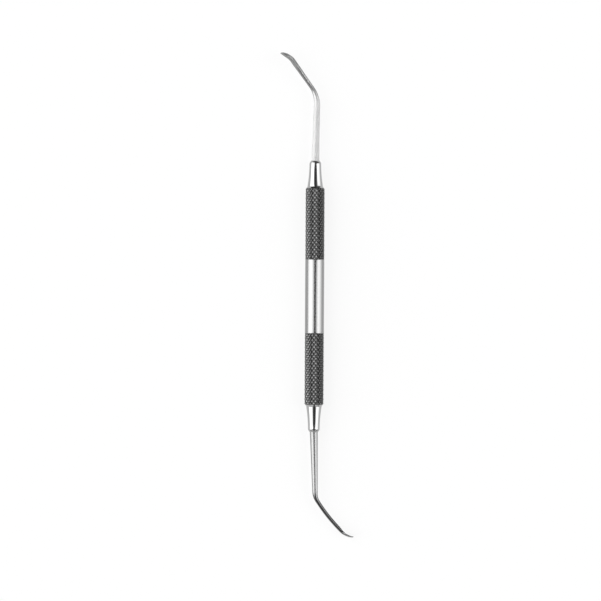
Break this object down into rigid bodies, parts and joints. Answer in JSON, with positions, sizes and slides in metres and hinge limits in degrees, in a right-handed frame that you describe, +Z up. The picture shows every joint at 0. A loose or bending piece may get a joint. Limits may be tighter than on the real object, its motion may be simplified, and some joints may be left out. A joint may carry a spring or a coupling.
{
  "type": "sinus lift curette",
  "caption": "Slim double-ended hand instrument: knurled round handle with a plain grip band, and an angled, cupped scraping blade at each end.",
  "frame": {"origin": "middle of the handle, on its axis", "axes": "+Y along the handle to the upper working end, +X to the side that the lower hook points to, +Z up from the surface it lies on"},
  "size_m": [0.0283, 0.1776, 0.007],
  "materials": {
    "handle_steel": "polished stainless steel, darker in the grooves of the knurl",
    "tip_steel": "satin stainless steel"
  },
  "bodies": {
    "root": {"handle": "handle_steel", "upper_working_end": "tip_steel", "lower_working_end": "tip_steel"}
  },
  "joints": []
}
